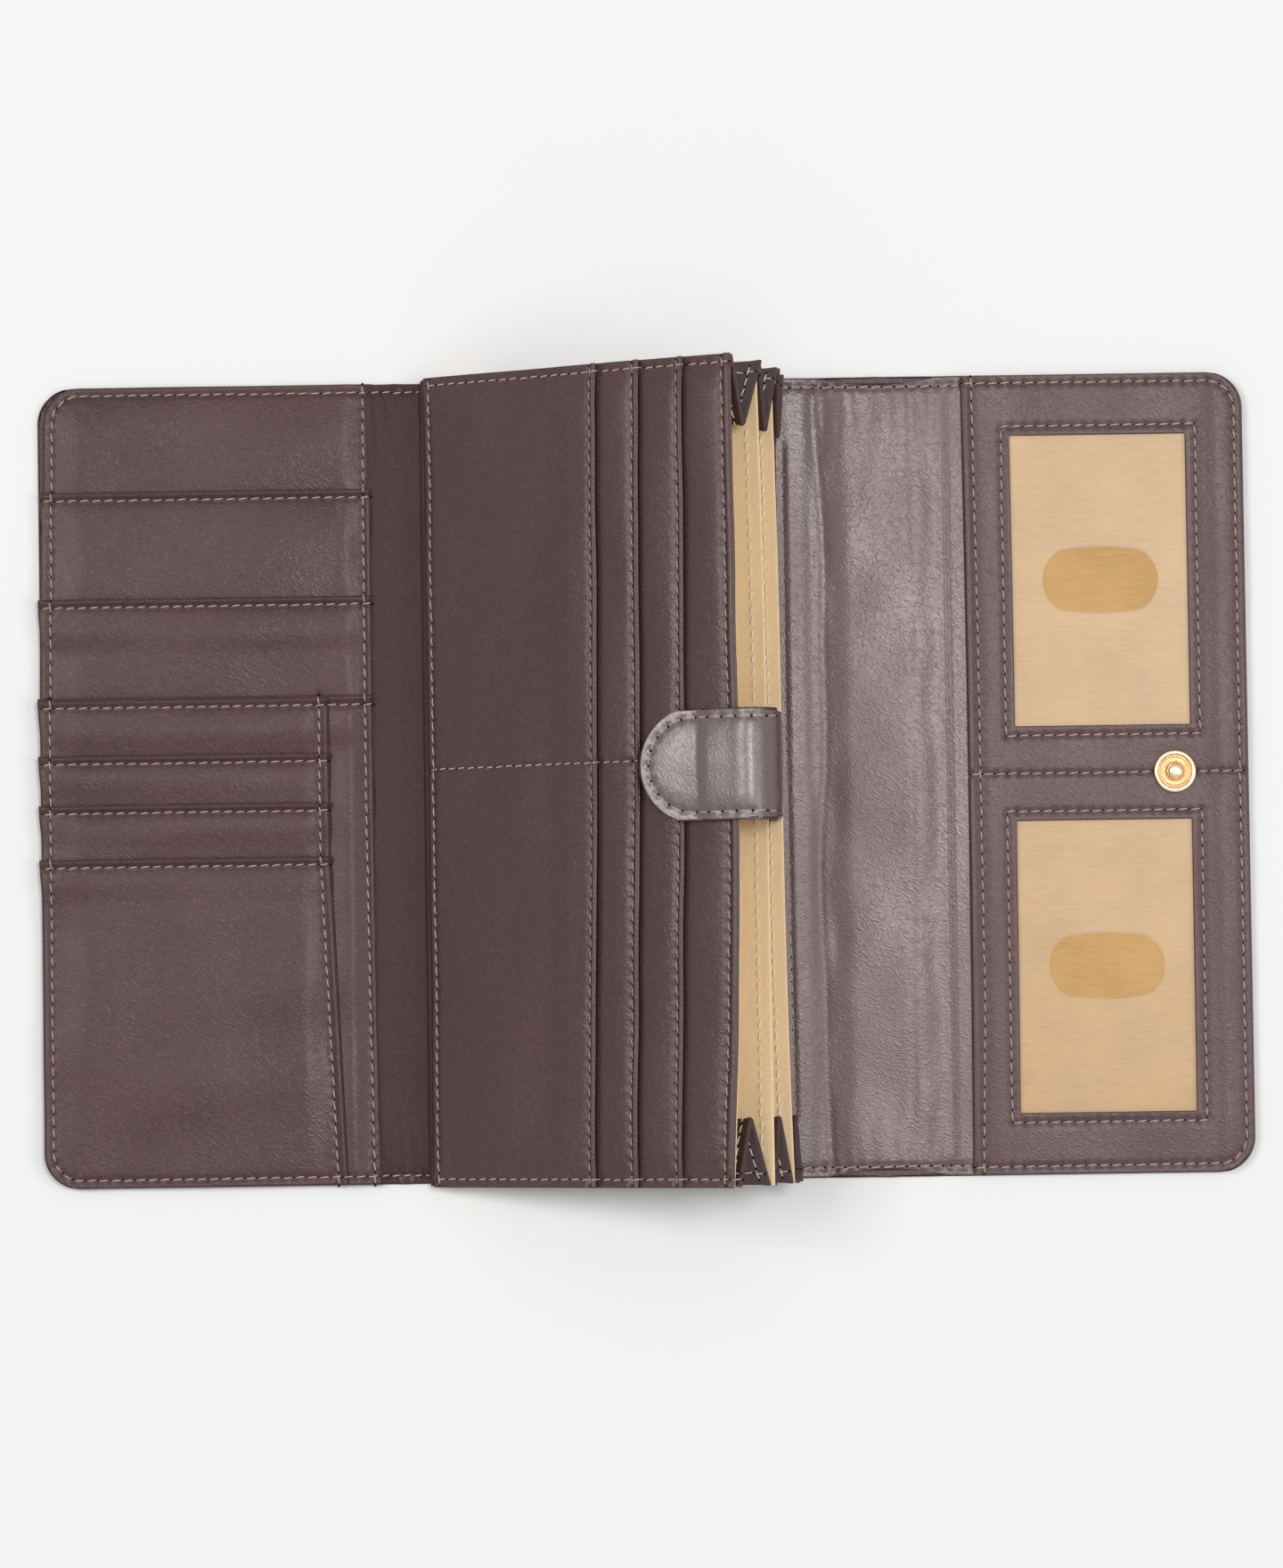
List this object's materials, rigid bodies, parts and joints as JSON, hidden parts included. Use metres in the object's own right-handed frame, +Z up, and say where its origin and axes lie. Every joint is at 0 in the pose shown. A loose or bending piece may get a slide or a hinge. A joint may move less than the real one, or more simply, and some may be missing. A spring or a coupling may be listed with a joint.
{
  "type": "coupon organizer wallet",
  "caption": "Wide folding wallet with coupon pockets, card slots, bellows compartments, a snap tab and a windowed closing flap, lying open.",
  "frame": {"origin": "centre of the bounding box's bottom face, on the table under the open wallet", "axes": "+X from the left cover to the closing flap, +Y along the folds towards the side that the coupon pockets open to, +Z up"},
  "size_m": [0.306, 0.205, 0.0582],
  "materials": {
    "leatherette": "fine-grained, satin",
    "dark_leatherette": "fine-grained, satin",
    "twill": "matt twill",
    "board": "matt board",
    "clear_vinyl": "clear film",
    "gold_snap": "polished pale gold",
    "spring_steel": "drawn wire"
  },
  "bodies": {
    "back": {"back_skin": "leatherette", "back_board": "board", "back_lining": "twill", "back_lip_lining": "leatherette", "bellows_seam": "dark_leatherette"},
    "spine": {"spine_skin": "leatherette", "spine_lining": "dark_leatherette"},
    "left_cover": {"cover_skin": "leatherette", "cover_board": "board", "slip_pocket": "leatherette", "coupon_pocket_1": "leatherette", "coupon_pocket_2": "leatherette", "coupon_pocket_3": "leatherette", "card_slot_1": "leatherette", "card_slot_2": "leatherette", "card_slot_3": "leatherette", "card_slot_4": "leatherette", "cover_socket": "gold_snap", "cover_socket_spring": "spring_steel"},
    "band": {"band_skin": "leatherette", "band_lining": "leatherette"},
    "flap": {"flap_skin": "leatherette", "flap_board": "board", "flap_lining": "leatherette", "window_backing": "twill", "window_upper": "clear_vinyl", "window_lower": "clear_vinyl", "window_panel": "leatherette", "flap_stud": "gold_snap", "flap_stud_post": "gold_snap"},
    "divider_2": {"divider_2": "twill", "divider_2_board": "board", "gusset_top_3": "dark_leatherette", "gusset_bottom_3": "dark_leatherette"},
    "divider_1": {"divider_1": "twill", "divider_1_board": "board"},
    "front_wall": {"front_wall_lining": "twill", "front_wall_panel": "leatherette", "front_slot_1": "leatherette", "front_slot_2": "leatherette", "front_slot_3": "leatherette", "tab_stud": "gold_snap", "tab_stud_post": "gold_snap", "tab_strap": "leatherette", "gusset_top_1": "dark_leatherette", "gusset_top_2": "dark_leatherette", "gusset_bottom_1": "dark_leatherette", "gusset_bottom_2": "dark_leatherette"},
    "tab": {"tab_top": "leatherette", "tab_underside": "dark_leatherette", "tab_socket": "gold_snap", "tab_socket_spring": "spring_steel"}
  },
  "joints": [
    {"name": "spine_fold", "type": "hinge", "parent": "back", "child": "spine", "pos_m": [-0.057, 0, 0.00045], "axis": [0, 1, 0], "range_deg": [0, 90]},
    {"name": "cover_fold", "type": "hinge", "parent": "spine", "child": "left_cover", "pos_m": [-0.067, 0, 0.00045], "axis": [0, 1, 0], "range_deg": [0, 81.5]},
    {"name": "band_fold", "type": "hinge", "parent": "back", "child": "band", "pos_m": [0.045, 0, 0.00045], "axis": [0, -1, 0], "range_deg": [0, 90]},
    {"name": "flap_fold", "type": "hinge", "parent": "band", "child": "flap", "pos_m": [0.075, 0, 0.00045], "axis": [0, -1, 0], "range_deg": [0, 98.5]},
    {"name": "back_compartment", "type": "hinge", "parent": "back", "child": "divider_2", "pos_m": [-0.0547, 0, 0.0032], "axis": [0, 1, 0], "range_deg": [-11, 10.5], "deforming": ["gusset_top_3", "gusset_bottom_3"]},
    {"name": "front_compartments", "type": "hinge", "parent": "divider_2", "child": "front_wall", "pos_m": [-0.0547, 0, 0.0032], "axis": [0, 1, 0], "range_deg": [-22, 21.2], "deforming": ["gusset_top_1", "gusset_top_2", "gusset_bottom_1", "gusset_bottom_2", "tab_strap"]},
    {"name": "middle_divider", "type": "hinge", "parent": "divider_2", "child": "divider_1", "pos_m": [-0.0547, 0, 0.0032], "axis": [0, 1, 0], "range_deg": [-11, 10.6]},
    {"name": "tab_lift", "type": "hinge", "parent": "front_wall", "child": "tab", "pos_m": [0.02141, 0, 0.05595], "axis": [0, -1, 0], "range_deg": [-120, 0]}
  ],
  "couplings": [
    {"joint": "middle_divider", "follows": "front_compartments", "ratio": 0.5}
  ]
}
